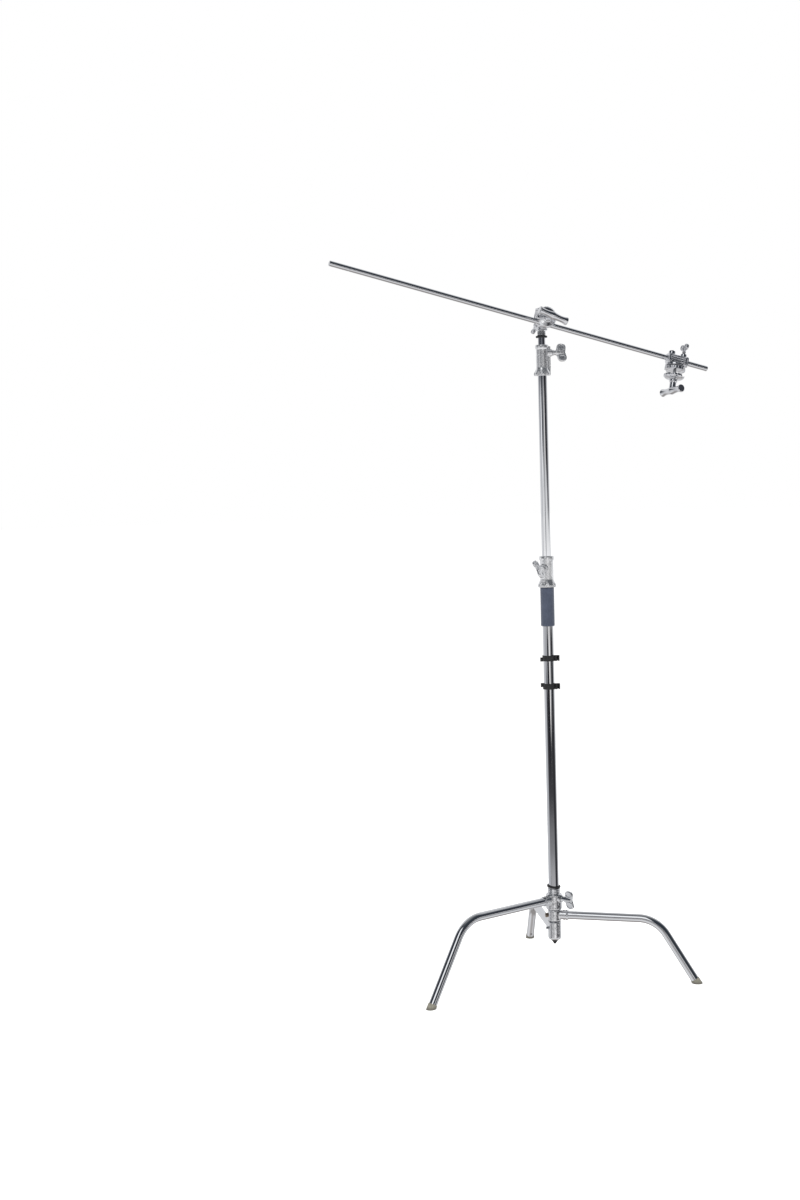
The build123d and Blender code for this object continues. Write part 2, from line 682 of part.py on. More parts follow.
# ---- locking knobs of the base and of both collars ---------------------------------
wing = wing_knob(KNOB_NECK, KNOB_WING_TALL, KNOB_WING_DEEP, KNOB_WING_THICK, SCREW_R)
knob_start = COLLAR_BOSS_REACH + 2
for name, place, tip_r, lean in (
    ("base", turned_frame(BASE_KNOB_TURN, BASE_KNOB_HEIGHT), COLUMN_R + 0.4, 8),
    ("collar_1", collar_1 * Location((0, 0, COLLAR_1_SCREW)), RISER_1_R + 0.4, 28),
    ("collar_2", collar_2 * Location((0, 0, COLLAR_2_SCREW)), RISER_2_R + 0.4, -20),
):
    turned = place * Location((0, 0, 0), (lean, 0, 0))
    save(wing, f"{name}_knob", turned * Location((knob_start, 0, 0)))
    save(knob_screw(SCREW_R, tip_r, knob_start + KNOB_NECK + 4), f"{name}_screw", turned)

# ---- stud on top of the second riser -------------------------------------------------
bore_r = RISER_2_R - TUBE_WALL
ribs = []
for low in (FLANGE_TOP + 1.5, FLANGE_TOP + 6, FLANGE_TOP + 10.5):
    ribs += [(SHOULDER_R, low), (SHOULDER_R, low + 2), (SHOULDER_R - 1, low + 2.8), (SHOULDER_R - 1, low + 3.7)]
save(
    turned_piece([
        (0, FLANGE_BOTTOM - 30), (bore_r, FLANGE_BOTTOM - 30), (bore_r, FLANGE_TOP),
        (SHOULDER_R - 1, FLANGE_TOP), *ribs[:-1], (SHOULDER_R - 1, SHOULDER_TOP),
        (STUD_R, SHOULDER_TOP), (STUD_R, 1970), (STUD_R - 1.5, 1971.5),
        (STUD_R - 1.5, 1979), (STUD_R, 1980.5), (STUD_R, STUD_TOP - 1.5), (STUD_R - 1.5, STUD_TOP),
        (0, STUD_TOP),
    ]),
    "top_stud",
)
save(turned_piece(ring_profile(bore_r, FLANGE_R, FLANGE_BOTTOM, FLANGE_TOP, 1)), "stud_flange")

# ---- boom arm, along +X of its own frame ------------------------------------------------
seam = ARM_LEFT + TIP_LENGTH
inner_r = STUD_R - ARM_WALL
with BuildPart() as arm_tube:
    with BuildSketch(Plane.XY):
        Polygon(
            (seam, inner_r), (seam, STUD_R - 0.8), (seam + 0.8, STUD_R), (ARM_RIGHT - END_CAP, STUD_R),
            (ARM_RIGHT - END_CAP, inner_r), align=None,
        )
    revolve(axis=Axis.X)
save(arm_tube.part, "arm_tube", arm)
with BuildPart() as arm_tip:
    with BuildSketch(Plane.XY):
        Polygon(
            (ARM_LEFT, 0), (ARM_LEFT, STUD_R - 1.2), (ARM_LEFT + 1.2, STUD_R), (seam - 0.8, STUD_R),
            (seam, STUD_R - 0.8), (seam, inner_r), (seam + 35, inner_r), (seam + 35, 0), align=None,
        )
    revolve(axis=Axis.X)
save(arm_tip.part, "arm_tip", arm)
with BuildPart() as arm_end_cap:
    with BuildSketch(Plane.XY):
        Polygon(
            (ARM_RIGHT - 26, 0), (ARM_RIGHT - 26, inner_r), (ARM_RIGHT - END_CAP, inner_r),
            (ARM_RIGHT - END_CAP, STUD_R), (ARM_RIGHT - 1, STUD_R), (ARM_RIGHT, STUD_R - 1),
            (ARM_RIGHT, 0), align=None,
        )
    revolve(axis=Axis.X)
save(arm_end_cap.part, "arm_end_cap", arm)

# ---- the two grip heads ----------------------------------------------------------------
lock_wing = wing_knob(6, 38, 20, 9, SCREW_R)
for number, place, jaw_turn, opened, handle_turn, lock_turn in (
    (1, head_1, -ARM_SLOPE, 0, -HANDLE_1_SLOPE, 115),
    (2, head_2, 0, HEAD_2_OPEN, HANDLE_2_TURN, 0),
):
    jaws = place * Location((0, 0, 0), (0, 0, jaw_turn))
    outward = jaws * Location((0, 0, opened))
    handle_place = place * Location((0, 0, opened), (0, 0, handle_turn))
    behind = place * Location((0, -LOCK_SCREW_DROP, 0), (0, 90, 0)) * Location((0, 0, 0), (lock_turn, 0, 0))
    save(head_body(), f"head_{number}_body", place)
    save(head_plug(), f"head_{number}_plug", place)
    save(head_bolt(), f"head_{number}_bolt", place)
    inner_back = JAW_PLANE - CLOSED_GAP / 2 - JAW_THICK
    save(head_washer(PLATE_FACE, inner_back, 24), f"head_{number}_friction_washer", place)
    save(jaw(True), f"head_{number}_inner_jaw", jaws)
    save(jaw(False), f"head_{number}_outer_jaw", outward)
    outer_back = JAW_PLANE + CLOSED_GAP / 2 + JAW_THICK + 2
    save(head_washer(outer_back, HANDLE_START, 11), f"head_{number}_thrust_washer", outward)
    save(t_handle(), f"head_{number}_handle", handle_place)
    with BuildPart() as lock_knob:
        add(lock_wing.moved(Location((LOCK_KNOB_START, 0, 0))))
        add(knob_screw(SCREW_R, SLEEVE_BORE + 0.4, LOCK_KNOB_START + 9))
    save(lock_knob.part, f"head_{number}_lock_knob", behind)
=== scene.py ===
import json
from math import cos, sin, tau

import bmesh
import bpy
from mathutils import Matrix, Vector


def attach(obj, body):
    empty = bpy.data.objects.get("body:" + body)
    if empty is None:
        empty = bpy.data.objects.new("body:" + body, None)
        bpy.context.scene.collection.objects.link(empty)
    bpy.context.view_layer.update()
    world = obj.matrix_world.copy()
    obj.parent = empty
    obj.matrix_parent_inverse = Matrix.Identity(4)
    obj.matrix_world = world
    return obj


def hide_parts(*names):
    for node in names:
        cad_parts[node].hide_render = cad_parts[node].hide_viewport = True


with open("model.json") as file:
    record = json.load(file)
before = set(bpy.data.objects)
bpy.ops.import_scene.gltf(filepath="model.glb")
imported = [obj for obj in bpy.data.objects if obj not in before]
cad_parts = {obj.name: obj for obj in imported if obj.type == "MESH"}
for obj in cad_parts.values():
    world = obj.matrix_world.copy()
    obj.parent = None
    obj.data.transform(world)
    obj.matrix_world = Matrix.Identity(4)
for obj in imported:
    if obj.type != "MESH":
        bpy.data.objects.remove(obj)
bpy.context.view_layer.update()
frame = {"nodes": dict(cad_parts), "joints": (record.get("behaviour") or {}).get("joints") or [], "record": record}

nodes = frame["nodes"]
joints = {joint["name"]: joint for joint in frame["joints"]}


# ---- shader graphs -----------------------------------------------------------------
class Graph:
    """A node tree with one-line calls for the nodes that the materials use."""

    def __init__(self, tree):
        self.tree = tree
        self.tree.nodes.clear()

    def add(self, kind, inputs=None, **settings):
        node = self.tree.nodes.new(kind)
        for name, value in settings.items():
            setattr(node, name, value)
        for key, value in (inputs or {}).items():
            self.put(node.inputs[key], value)
        return node

    def put(self, socket, value):
        """Link a socket, or set its value."""
        if isinstance(value, bpy.types.NodeSocket):
            self.tree.links.new(value, socket)
        else:
            socket.default_value = value

    def math(self, operation, *values, clamp=False):
        node = self.add("ShaderNodeMath", operation=operation, use_clamp=clamp)
        for socket, value in zip(node.inputs, values):
            self.put(socket, value)
        return node.outputs[0]

    def step(self, value, start, end, low=0.0, high=1.0):
        """Smooth change from low to high as value goes from start to end."""
        node = self.add(
            "ShaderNodeMapRange",
            {"Value": value, "From Min": start, "From Max": end, "To Min": low, "To Max": high},
            interpolation_type="SMOOTHSTEP",
        )
        return node.outputs["Result"]

    def noise(self, vector, scale, detail=4.0, roughness=0.5, distortion=0.0):
        node = self.add(
            "ShaderNodeTexNoise",
            {
                "Vector": vector, "Scale": scale, "Detail": detail,
                "Roughness": roughness, "Distortion": distortion,
            },
        )
        return node.outputs["Fac"]

    def mix(self, share, first, second):
        """Mix of two colours."""
        node = self.add("ShaderNodeMix", data_type="RGBA")
        self.put(node.inputs["Factor"], share)
        self.put(node.inputs["A"], first)
        self.put(node.inputs["B"], second)
        return node.outputs["Result"]

    def bump(self, height, strength, distance, normal=None):
        node = self.add(
            "ShaderNodeBump", {"Height": height, "Strength": strength, "Distance": distance}
        )
        if normal is not None:
            self.put(node.inputs["Normal"], normal)
        return node.outputs["Normal"]


def new_material(name):
    material = bpy.data.materials.new(name)
    material.use_nodes = True
    graph = Graph(material.node_tree)
    place = graph.add("ShaderNodeTexCoord").outputs["Object"]
    return material, graph, place


def close_material(graph, **inputs):
    """Principled surface with the given sockets."""
    named = {key.replace("_", " "): value for key, value in inputs.items()}
    shader = graph.add("ShaderNodeBsdfPrincipled", named)
    output = graph.add("ShaderNodeOutputMaterial")
    graph.put(output.inputs["Surface"], shader.outputs["BSDF"])


def tube_chrome(name, along):
    """Mirror chrome on drawn tube: hair-fine lines along it, wiped smudges, a few dull specks."""
    material, graph, place = new_material(name)
    turn = Vector((0, 0, 1)).rotation_difference(Vector(along)).inverted().to_euler()
    lined = graph.add(
        "ShaderNodeMapping", {"Vector": place, "Rotation": turn, "Scale": (700, 700, 4)},
        vector_type="POINT",
    ).outputs[0]
    lines = graph.noise(lined, 1.0, 3.0, 0.6)
    smudges = graph.noise(place, 11.0, 5.0, 0.62, 0.6)
    specks = graph.step(graph.noise(place, 900.0, 2.0, 0.5), 0.7, 0.76)
    rough = graph.step(smudges, 0.42, 0.72, 0.035, 0.075)
    rough = graph.math("ADD", rough, graph.math("MULTIPLY", specks, 0.12), clamp=True)
    tint = graph.mix(graph.step(smudges, 0.3, 0.75), (0.76, 0.765, 0.785, 1), (0.72, 0.73, 0.75, 1))
    tint = graph.mix(graph.math("MULTIPLY", specks, 0.35), tint, (0.42, 0.42, 0.43, 1))
    normal = graph.bump(lines, 0.03, 0.00002)
    close_material(graph, Base_Color=tint, Metallic=1.0, Roughness=rough, Normal=normal)
    return material


def cast_chrome(name, light, dark, dull=0.0, wave=0.22):
    """Plated casting: slow ripple of the polished sand casting, fine pits, duller darker smudges.

    dull is added to the roughness, and a dull plating is a little less of a metal; wave is
    the strength of the ripple.
    """
    material, graph, place = new_material(name)
    ripple = graph.noise(place, 95.0, 2.0, 0.45, 0.5)
    peel = graph.noise(place, 420.0, 3.0, 0.55)
    pits = graph.step(graph.noise(place, 1500.0, 2.0, 0.5), 0.66, 0.74)
    smudges = graph.noise(place, 45.0, 5.0, 0.6, 0.5)
    rough = graph.step(smudges, 0.35, 0.75, 0.12 + dull, 0.20 + dull)
    rough = graph.math("ADD", rough, graph.math("MULTIPLY", pits, 0.15), clamp=True)
    tint = graph.mix(graph.step(smudges, 0.3, 0.7), (*light, 1), (*dark, 1))
    tint = graph.mix(graph.math("MULTIPLY", pits, 0.4), tint, (0.25, 0.25, 0.26, 1))
    normal = graph.bump(ripple, wave, 0.0014)
    normal = graph.bump(peel, 0.06, 0.0002, normal)
    metal = 1.0 - max(dull, 0.0)
    close_material(graph, Base_Color=tint, Metallic=metal, Roughness=rough, Normal=normal)
    return material


def turned_metal(name, light, dark, rough_low, rough_high):
    """Turned and plated metal: fine tool lines, darkened here and there."""
    material, graph, place = new_material(name)
    stain = graph.noise(place, 120.0, 5.0, 0.6, 0.3)
    lines = graph.noise(place, 2600.0, 2.0, 0.5)
    tint = graph.mix(graph.step(stain, 0.32, 0.7), (*light, 1), (*dark, 1))
    rough = graph.step(stain, 0.3, 0.7, rough_low, rough_high)
    normal = graph.bump(lines, 0.15, 0.00008)
    close_material(graph, Base_Color=tint, Metallic=1.0, Roughness=rough, Normal=normal)
    return material


def moulded_plastic(name, light, dark, rough_low, rough_high):
    """Moulded plastic with a fine sparked grain and scuffs that catch the light."""
    material, graph, place = new_material(name)
    grain = graph.noise(place, 2200.0, 2.0, 0.6)
    scuffs = graph.step(graph.noise(place, 260.0, 6.0, 0.7, 1.2), 0.56, 0.7)
    patches = graph.noise(place, 60.0, 4.0, 0.6)
    tint = graph.mix(graph.step(patches, 0.3, 0.7), (*dark, 1), (*light, 1))
    scuffed = tuple(min(1.0, c * 3 + 0.02) for c in light) + (1,)
    tint = graph.mix(graph.math("MULTIPLY", scuffs, 0.3), tint, scuffed)
    rough = graph.step(patches, 0.3, 0.7, rough_low, rough_high)
    normal = graph.bump(grain, 0.35, 0.0001)
    normal = graph.bump(scuffs, 0.1, 0.0001, normal)
    close_material(graph, Base_Color=tint, Roughness=rough, Normal=normal)
    return material


def boot_rubber():
    """Dusty rubber, darker in patches towards the floor."""
    material, graph, place = new_material("boot_rubber")
    height = graph.add("ShaderNodeSeparateXYZ", {"Vector": place}).outputs["Z"]
    dust = graph.noise(place, 160.0, 6.0, 0.65, 0.4)
    grain = graph.noise(place, 1400.0, 3.0, 0.6)
    tint = graph.mix(graph.step(dust, 0.3, 0.72), (0.13, 0.125, 0.1, 1), (0.21, 0.2, 0.165, 1))
    # darker in patches within 12 mm of the floor
    low_down = graph.step(height, 0.012, 0.0)
    darker_near_floor = graph.math("MULTIPLY", low_down, graph.step(dust, 0.35, 0.6, 0.35, 0.9))
    tint = graph.mix(darker_near_floor, tint, (0.07, 0.066, 0.058, 1))
    rough = graph.step(dust, 0.3, 0.7, 0.72, 0.92)
    normal = graph.bump(grain, 0.4, 0.00018)
    normal = graph.bump(dust, 0.3, 0.0005, normal)
    close_material(graph, Base_Color=tint, Roughness=rough, Normal=normal)
    return material


def sleeve_rubber():
    """Slate-blue grip sleeve: fine skin, soft sheen and a few rubbed patches."""
    material, graph, place = new_material("sleeve_rubber")
    skin = graph.add(
        "ShaderNodeTexVoronoi", {"Vector": place, "Scale": 1500.0, "Randomness": 1.0}, feature="F1"
    ).outputs["Distance"]
    cloud = graph.noise(place, 38.0, 5.0, 0.6, 0.4)
    rubbed = graph.step(graph.noise(place, 110.0, 6.0, 0.7, 0.8), 0.55, 0.72)
    tint = graph.mix(graph.step(cloud, 0.3, 0.7), (0.031, 0.04, 0.066, 1), (0.042, 0.053, 0.084, 1))
    tint = graph.mix(graph.math("MULTIPLY", rubbed, 0.35), tint, (0.075, 0.088, 0.125, 1))
    rough = graph.step(cloud, 0.3, 0.7, 0.5, 0.68)
    normal = graph.bump(skin, 0.3, 0.00012)
    close_material(
        graph, Base_Color=tint, Roughness=rough, Normal=normal, Sheen_Weight=0.2, Sheen_Roughness=0.5
    )
    return material


UPRIGHT = (0, 0, 1)
BLACK, DEEP_BLACK = (0.012, 0.012, 0.013), (0.007, 0.007, 0.008)
materials = {
    "chrome_tube": tube_chrome("chrome_tube", UPRIGHT),
    "cast_chrome": cast_chrome("cast_chrome", (0.84, 0.845, 0.86), (0.72, 0.725, 0.74)),
    "steel": turned_metal("steel", (0.6, 0.61, 0.62), (0.38, 0.38, 0.39), 0.16, 0.34),
    "bronze": turned_metal("bronze", (0.34, 0.27, 0.2), (0.2, 0.155, 0.12), 0.3, 0.5),
    "black_plastic": moulded_plastic("black_plastic", BLACK, DEEP_BLACK, 0.42, 0.58),
    "nylon": moulded_plastic("nylon", (0.07, 0.07, 0.075), (0.04, 0.04, 0.045), 0.35, 0.5),
    "boot_rubber": boot_rubber(),
    "sleeve_rubber": sleeve_rubber(),
}
# the same platings in other finishes: lines along the arm, duller collars, brighter heads
arm_chrome = tube_chrome("arm_chrome", joints["arm_slide"]["axis"])
satin_chrome = cast_chrome("satin_chrome", (0.88, 0.885, 0.895), (0.76, 0.765, 0.78), 0.07, 0.14)
head_chrome = cast_chrome("head_chrome", (0.82, 0.825, 0.84), (0.70, 0.705, 0.73), -0.06, 0.07)
FINISHES = {
    ("chrome_tube", "arm"): arm_chrome,
    ("cast_chrome", "collar"): satin_chrome,
    ("cast_chrome", "head"): head_chrome,
}
slot_of = {part["node"]: part["material_slot"] for part in frame["record"]["subparts"]}
for name, piece in nodes.items():
    slot = slot_of[name]
    piece.data.materials.clear()
    piece.data.materials.append(FINISHES.get((slot, name.split("_")[0]), materials[slot]))


# ---- cast and moulded shapes ---------------------------------------------------------
def soften(pieces, voxel, rounds):
    """Round every edge, as on a casting or a moulding: a fine even mesh, then smoothed."""
    for piece in pieces:
        remesh = piece.modifiers.new("even_mesh", "REMESH")
        remesh.mode = "VOXEL"
        remesh.voxel_size = voxel
        remesh.use_smooth_shade = True
        smooth = piece.modifiers.new("cast_edges", "SMOOTH")
        smooth.factor = 0.5
        smooth.iterations = rounds


LEGS, HEADS = ("top", "middle", "bottom"), ("head_1", "head_2")
# pieces, size of the even mesh in metres, rounds of smoothing
SOFTENED = (
    ([f"{leg}_leg_casting" for leg in LEGS], 0.0009, 7),
    (["collar_1_casting", "collar_2_casting", "receiver_sleeve"], 0.0008, 6),
    ([f"{leg}_leg_boot" for leg in LEGS], 0.0006, 4),
    (["lower_cable_clip", "upper_cable_clip", "column_ring"], 0.0005, 5),
    ([f"{head}_{part}" for head in HEADS for part in ("body", "handle")], 0.0007, 7),
    ([f"{head}_{part}_jaw" for head in HEADS for part in ("inner", "outer")], 0.0006, 4),
)
for names, voxel, rounds in SOFTENED:
    soften([nodes[name] for name in names], voxel, rounds)


# ---- knobs, threads and small fittings, drawn in millimetres along their own X -----------
def shown_object(name, mesh):
    made = bpy.data.objects.new(name, mesh)
    bpy.context.scene.collection.objects.link(made)
    return made


def finished_piece(name, form, place, body, slot, replaced=None, look=None):
    """Object of a millimetre form, in its place, riding on a body."""
    bmesh.ops.transform(form, matrix=Matrix.Scale(0.001, 4), verts=form.verts)
    bmesh.ops.recalc_face_normals(form, faces=form.faces)
    mesh = bpy.data.meshes.new(name)
    form.to_mesh(mesh)
    form.free()
    mesh.shade_smooth()
    mesh.materials.append(look or materials[slot])
    piece = shown_object(name, mesh)
    piece.matrix_world = place
    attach(piece, body)
    if replaced:
        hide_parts(replaced)
    return piece


def axis_frame(joint, upright, turn=0.0):
    """Frame at a joint: X along its axis, Z towards upright and then turned about X by degrees."""
    along = Vector(joints[joint]["axis"]).normalized()
    across = Vector(upright).cross(along).normalized()
    level = along.cross(across)
    angle = turn * tau / 360
    third = cos(angle) * level - sin(angle) * across
    second = third.cross(along)
    turned = Matrix((along, second, third)).transposed().to_4x4()
    return Matrix.Translation(joints[joint]["pos_m"]) @ turned


def add_band(form, first, second):
    """Ring of faces between two closed loops; a loop of one point gives a fan."""
    count = max(len(first), len(second))
    for step in range(count):
        after = (step + 1) % count
        if len(first) == 1:
            form.faces.new((first[0], second[step], second[after]))
        elif len(second) == 1:
            form.faces.new((first[step], second[0], first[after]))
        else:
            form.faces.new((first[step], second[step], second[after], first[after]))


def add_lathe(form, profile, turns=48):
    """Closed solid turned about X from (along, radius) points that start and end on the axis."""
    rings = []
    for along, radius in profile:
        steps = turns if radius else 1
        angles = [tau * step / turns for step in range(steps)]
        rings.append([form.verts.new((along, radius * cos(a), radius * sin(a))) for a in angles])
    for low, high in zip(rings, rings[1:]):
        add_band(form, low, high)


def rounded(points, steps=5):
    """Closed smooth outline through the points (Catmull-Rom)."""
    outline = []
    count = len(points)
    for index in range(count):
        before, start, end, after = (
            Vector(points[(index + shift) % count]) for shift in (-1, 0, 1, 2)
        )
        square = 2 * before - 5 * start + 4 * end - after
        cube = 3 * start - before - 3 * end + after
        for step in range(steps):
            t = step / steps
            outline.append(0.5 * (2 * start + (end - before) * t + square * t ** 2 + cube * t ** 3))
    return outline


def add_plate(form, outline, half, inset=None):
    """Plate of an XZ outline, half thick each way along Y; with an inset, only its rim."""
    loops = [
        [form.verts.new((p.x, side * half, p.y)) for p in edge]
        for edge in (outline, inset or []) for side in (-1, 1)
    ]
    pairs = [(0, 1), (2, 3), (0, 2), (1, 3)]
    if inset is None:
        form.faces.new(loops[0])
        form.faces.new(loops[1])
        pairs = [(0, 1)]
    for first, second in pairs:
        add_band(form, loops[first], loops[second])


# Outline of a wing and of the rim of one lobe: share of the wing's depth, share of its half
# height. The rim's inner edge is the outer edge drawn in towards its middle.
WING_EDGE = (
    (0.05, 0.42), (0.12, 0.74), (0.3, 0.96), (0.58, 1.0), (0.84, 0.93), (1.0, 0.68), (0.97, 0.34),
)
WING_ROOT = 0.18             # share of the half height where the wing leaves the neck
WING_DIP = 0.9               # share of the depth at the dip between the lobes
RIM_EDGE = (
    (0.2, 0.36), (0.16, 0.7), (0.36, 0.92), (0.62, 0.96), (0.92, 0.82), (0.95, 0.4), (0.6, 0.24),
)
RIM_INSET = 0.68
WEB_SHARE = 0.3              # half thickness of the web, as a share of the rim's thickness
COLUMN_WING_TALL = 57


def wing_knob(name, place, body, replaced, look, start, neck, tall, deep, thick, voxel):
    """Cast wing knob: ringed neck, two broad lobes with a raised rim and thumb hollows."""
    half = tall / 2
    inner = start + neck
    side = [(inner - 2, WING_ROOT * half)]
    side += [(inner + share * deep, up * half) for share, up in WING_EDGE]
    points = side + [(inner + WING_DIP * deep, 0)]
    points += [(along, -up) for along, up in reversed(side)]
    form = bmesh.new()
    add_plate(form, rounded(points), WEB_SHARE * thick)
    for lobe in (-1, 1):
        edge = rounded([(inner + share * deep, lobe * up * half) for share, up in RIM_EDGE])
        middle = sum(edge, Vector((0, 0))) / len(edge)
        add_plate(form, edge, thick / 2, [middle + RIM_INSET * (p - middle) for p in edge])
    size = tall / COLUMN_WING_TALL
    add_lathe(form, [
        (start, 0), (start, 9 * size), (start + 3 * size, 9 * size), (start + 4.4 * size, 7.4 * size),
        (inner - 2.5, 7.2 * size), (inner - 1, 8.6 * size), (inner + 2.5, 8.6 * size),
        (inner + 0.5 * deep, 6.4 * size), (inner + 0.76 * deep, 4.6 * size), (inner + 0.8 * deep, 0),
    ])
    piece = finished_piece(name, form, place, body, "cast_chrome", replaced, look)
    soften([piece], voxel, 8)


def thread(name, place, body, radius, start, end, pitch, replaced=None):
    """Screw thread with rounded crests."""
    turns, rows_a_pitch, depth = 36, 8, 0.42
    rows = round((end - start) / pitch * rows_a_pitch)
    form = bmesh.new()
    rings = []
    for row in range(rows + 1):
        along = start + (end - start) * row / rows
        ring = []
        for step in range(turns):
            crest = 0.5 + 0.5 * cos(tau * (along / pitch - step / turns))
            out = radius - depth * (1 - crest ** 0.7)
            angle = tau * step / turns
            ring.append(form.verts.new((along, out * cos(angle), out * sin(angle))))
        rings.append(ring)
    for low, high in zip(rings, rings[1:]):
        add_band(form, low, high)
    form.faces.new(rings[0])
    form.faces.new(rings[-1])
    finished_piece(name, form, place, body, "steel", replaced)


# start along the axis, length of the neck, height, depth and thickness of the wing
COLUMN_WING = (32, 12, COLUMN_WING_TALL, 31, 9)
HEAD_WING = (30, 6, 38, 20, 9)
for post, lean, look in (
    ("base", 8, materials["cast_chrome"]),
    ("collar_1", 28, satin_chrome),
    ("collar_2", -20, satin_chrome),
):
    wing_place = axis_frame(f"{post}_lock_turn", UPRIGHT, lean)
    wing_knob(f"{post}_wing", wing_place, f"{post}_lock", f"{post}_knob", look, *COLUMN_WING, 0.0005)
for head, bolt_joint, lock_turn in (("head_1", "head_1_tilt", 115), ("head_2", "head_2_turn", 0)):
    lock = joints[f"{head}_lock_turn"]
    bore = Vector(joints[bolt_joint]["pos_m"]) - Vector(lock["pos_m"])
    lock_place = axis_frame(lock["name"], Vector(lock["axis"]).cross(bore), lock_turn)
    wing_knob(
        f"{head}_lock_wing", lock_place, f"{head}_lock", f"{head}_lock_knob", head_chrome,
        *HEAD_WING, 0.0004,
    )
    # radius, first and last point along the axis, pitch
    thread(f"{head}_lock_thread", lock_place, f"{head}_lock", 4.95, 8.4, 31, 1.6)
    bolt_place = axis_frame(bolt_joint, bore)
    thread(f"{head}_bolt_thread", bolt_place, head, 4.98, 9.5, 84, 2.0, f"{head}_bolt")


# Dark rivet on the inner side of the rear leg, just above its boot: heading, reach and height
# of the leg's corner, reach of its foot, way down from the corner, radius of the tube (m).
LEG_HEADING = 101 * tau / 360
LEG_CORNER, LEG_CORNER_Z, LEG_REACH = 0.349, 0.141, 0.434
RIVET_DOWN, LEG_R = 0.136, 0.0127
outward = Vector((cos(LEG_HEADING), sin(LEG_HEADING), 0))
downhill = ((LEG_REACH - LEG_CORNER) * outward - LEG_CORNER_Z * Vector(UPRIGHT)).normalized()
inward = downhill.cross(outward).cross(downhill).normalized()
inward = -inward if inward.dot(outward) > 0 else inward
corner = LEG_CORNER * outward + LEG_CORNER_Z * Vector(UPRIGHT)
rivet_place = Matrix.Translation(corner + RIVET_DOWN * downhill + LEG_R * inward)
rivet_place @= inward.to_track_quat("X", "Z").to_matrix().to_4x4()
rivet = bmesh.new()
add_lathe(rivet, [(-0.6, 0), (-0.6, 2.7), (0.2, 2.7), (0.65, 1.9), (0.8, 0)], 24)
finished_piece("bottom_leg_foot_rivet", rivet, rivet_place, "bottom_leg", "black_plastic")


# ---- camera --------------------------------------------------------------------------
SENSOR_MM, FOCAL_MM = 36.0, 50.19
CAMERA_PLACE = Vector((0, -5.07, 1.54))
YAW, PITCH, ROLL = -0.08806, -0.07282, -0.02873      # radians; yaw is to the right of +Y

forward = Vector((sin(YAW) * cos(PITCH), cos(YAW) * cos(PITCH), sin(PITCH)))
right = Vector((cos(YAW), -sin(YAW), 0))
up = right.cross(forward)
rolled_right = cos(ROLL) * right + sin(ROLL) * up
rolled_up = cos(ROLL) * up - sin(ROLL) * right
lens = bpy.data.cameras.new("camera")
lens.sensor_fit = "AUTO"
lens.sensor_width = SENSOR_MM
lens.lens = FOCAL_MM
camera = bpy.data.objects.new("camera", lens)
camera.matrix_world = Matrix.Translation(CAMERA_PLACE) @ Matrix(
    (rolled_right, rolled_up, -forward)
).transposed().to_4x4()
bpy.context.scene.collection.objects.link(camera)
bpy.context.scene.camera = camera


# ---- studio ---------------------------------------------------------------------------
FLOOR_R, DOME_R = 60.0, 58.0


def studio_floor():
    """Pale floor that runs out to the white background."""
    mesh = bpy.data.meshes.new("floor")
    form = bmesh.new()
    bmesh.ops.create_circle(form, cap_ends=True, segments=96, radius=FLOOR_R)
    form.to_mesh(mesh)
    form.free()
    floor = shown_object("floor", mesh)
    material, graph, place = new_material("floor")
    cloud = graph.noise(place, 1.5, 3.0)
    tint = graph.mix(cloud, (0.8, 0.8, 0.8, 1), (0.82, 0.82, 0.82, 1))
    close_material(
        graph, Base_Color=tint, Roughness=0.9, Emission_Color=(1, 1, 1, 1), Emission_Strength=0.3,
        Specular_IOR_Level=0.0,
    )
    material.cycles.emission_sampling = "NONE"
    mesh.materials.append(material)
    floor.visible_glossy = False
    floor.visible_shadow = False


# Brightness of the set round the stand by elevation in degrees, as the chrome sees it: floor
# in the stand's own shade, pale floor, dark band, white horizon, dark room, dim ceiling.
SKY = (
    (-90, (0.38, 0.355, 0.34)),
    (-74, (0.48, 0.46, 0.45)),
    (-58, (0.80, 0.80, 0.81)),
    (-38, (0.86, 0.87, 0.89)),
    (-24, (0.60, 0.61, 0.63)),
    (-15, (0.66, 0.66, 0.67)),
    (-13.4, (0.45, 0.45, 0.46)),
    (-12.2, (0.24, 0.24, 0.25)),
    (-10.2, (0.055, 0.055, 0.06)),
    (-6.8, (0.04, 0.04, 0.045)),
    (-4.4, (0.45, 0.45, 0.46)),
    (-2.6, (1.25, 1.25, 1.25)),
    (-0.6, (0.95, 0.95, 0.95)),
    (1.6, (0.75, 0.76, 0.77)),
    (4.0, (0.32, 0.33, 0.35)),
    (5.4, (0.10, 0.105, 0.12)),
    (9.0, (0.07, 0.075, 0.09)),
    (16, (0.045, 0.05, 0.06)),
    (42, (0.035, 0.045, 0.06)),
    (62, (0.08, 0.09, 0.10)),
    (80, (0.22, 0.23, 0.24)),
    (90, (0.30, 0.31, 0.32)),
)
